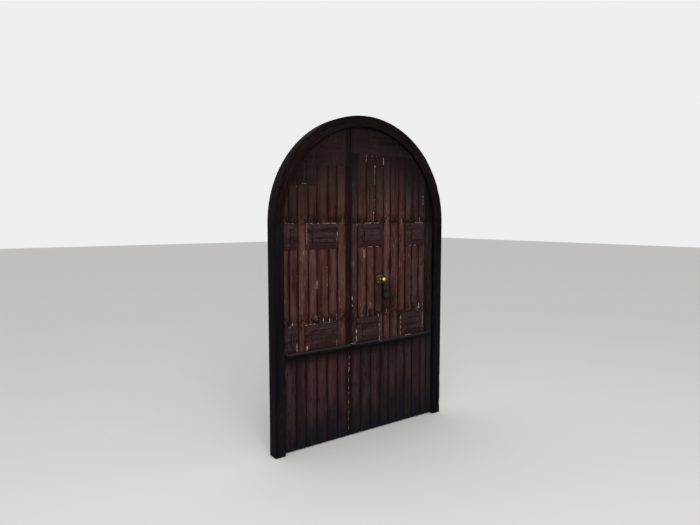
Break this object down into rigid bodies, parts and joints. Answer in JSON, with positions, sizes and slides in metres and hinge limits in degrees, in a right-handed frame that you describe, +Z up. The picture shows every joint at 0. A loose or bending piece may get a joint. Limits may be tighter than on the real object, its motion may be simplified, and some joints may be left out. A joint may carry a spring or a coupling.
{
  "type": "arched double door",
  "caption": "Round-headed wooden double door in a rebated frame: upright boards, raised blocks, weather bar, brass knob, small padlock on a staple.",
  "frame": {"origin": "bottom centre of the whole closed door: on the ground under the frame's middle, halfway between the front of the knob and the back of the bolts' grips", "axes": "+X along the door to the viewer's right from outside, +Y into the house, +Z up"},
  "size_m": [1.47, 0.148, 2.25],
  "materials": {
    "frame_wood": "dark wood, old dull stain, nearly black",
    "framing_wood": "dark wood, planed, dull stain",
    "board_wood": "reddish brown stained wood, weathered, satin to dull",
    "lower_wood": "dark brown stained wood, dull",
    "block_wood": "dark reddish stained wood, weathered on its upper faces",
    "hinge_iron": "blackened wrought iron",
    "padlock_iron": "grey steel, dulled outdoors",
    "brass": "aged brass, slightly tarnished"
  },
  "bodies": {
    "frame": {"left_jamb": "frame_wood", "right_jamb": "frame_wood", "head_right_haunch": "frame_wood", "head_right_crown": "frame_wood", "head_left_crown": "frame_wood", "head_left_haunch": "frame_wood", "left_pintles": "hinge_iron", "right_pintles": "hinge_iron", "top_bolt_keeper": "hinge_iron"},
    "left_leaf": {"left_meeting_stile": "framing_wood", "left_hinge_stile": "framing_wood", "left_bottom_rail": "framing_wood", "left_middle_rail": "framing_wood", "left_upper_rail": "framing_wood", "left_head_rail": "framing_wood", "left_meeting_strip": "board_wood", "left_meeting_board": "board_wood", "left_inner_boards": "board_wood", "left_middle_board": "board_wood", "left_outer_boards": "board_wood", "left_lower_boards": "lower_wood", "left_inner_upper_block": "block_wood", "left_inner_lower_block": "block_wood", "left_outer_upper_block": "block_wood", "left_outer_lower_block": "block_wood", "left_weather_bar": "block_wood", "left_strap_hinges": "hinge_iron", "left_bolt_plates": "hinge_iron", "cross_bolt_keeper": "hinge_iron"},
    "right_leaf": {"right_meeting_stile": "framing_wood", "right_hinge_stile": "framing_wood", "right_bottom_rail": "framing_wood", "right_middle_rail": "framing_wood", "right_upper_rail": "framing_wood", "right_head_rail": "framing_wood", "right_lock_rail": "framing_wood", "right_meeting_board": "board_wood", "right_inner_boards": "board_wood", "right_middle_board_1": "board_wood", "right_middle_board_2": "board_wood", "right_middle_board_3": "board_wood", "right_outer_boards": "board_wood", "right_hinge_board": "board_wood", "right_lower_boards": "lower_wood", "right_inner_upper_block": "block_wood", "right_inner_lower_block": "block_wood", "right_outer_upper_block": "block_wood", "right_outer_lower_block": "block_wood", "right_weather_bar": "block_wood", "right_strap_hinges": "hinge_iron", "cross_bolt_plate": "hinge_iron", "knob_rose": "brass", "door_knob": "brass", "padlock_staple": "padlock_iron"},
    "cross_bolt": {"cross_bolt": "hinge_iron"},
    "top_bolt": {"top_bolt": "hinge_iron"},
    "bottom_bolt": {"bottom_bolt": "hinge_iron"},
    "padlock": {"padlock_body": "padlock_iron", "padlock_shackle": "padlock_iron"}
  },
  "joints": [
    {"name": "left_leaf_hinge", "type": "hinge", "parent": "frame", "child": "left_leaf", "pos_m": [-0.688, 0.058, 0], "axis": [0, 0, 1], "range_deg": [0, 95]},
    {"name": "right_leaf_hinge", "type": "hinge", "parent": "frame", "child": "right_leaf", "pos_m": [0.688, 0.058, 0], "axis": [0, 0, -1], "range_deg": [0, 95]},
    {"name": "cross_bolt_slide", "type": "slide", "parent": "right_leaf", "child": "cross_bolt", "axis": [-1, 0, 0], "range_m": [0, 0.034]},
    {"name": "top_bolt_slide", "type": "slide", "parent": "left_leaf", "child": "top_bolt", "axis": [0, 0, 1], "range_m": [0, 0.034]},
    {"name": "bottom_bolt_slide", "type": "slide", "parent": "left_leaf", "child": "bottom_bolt", "axis": [0, 0, -1], "range_m": [0, 0.034]},
    {"name": "padlock_swing", "type": "hinge", "parent": "right_leaf", "child": "padlock", "pos_m": [0.187, -0.0235, 1.062], "axis": [0, 1, 0], "range_deg": [-25, 25]}
  ]
}
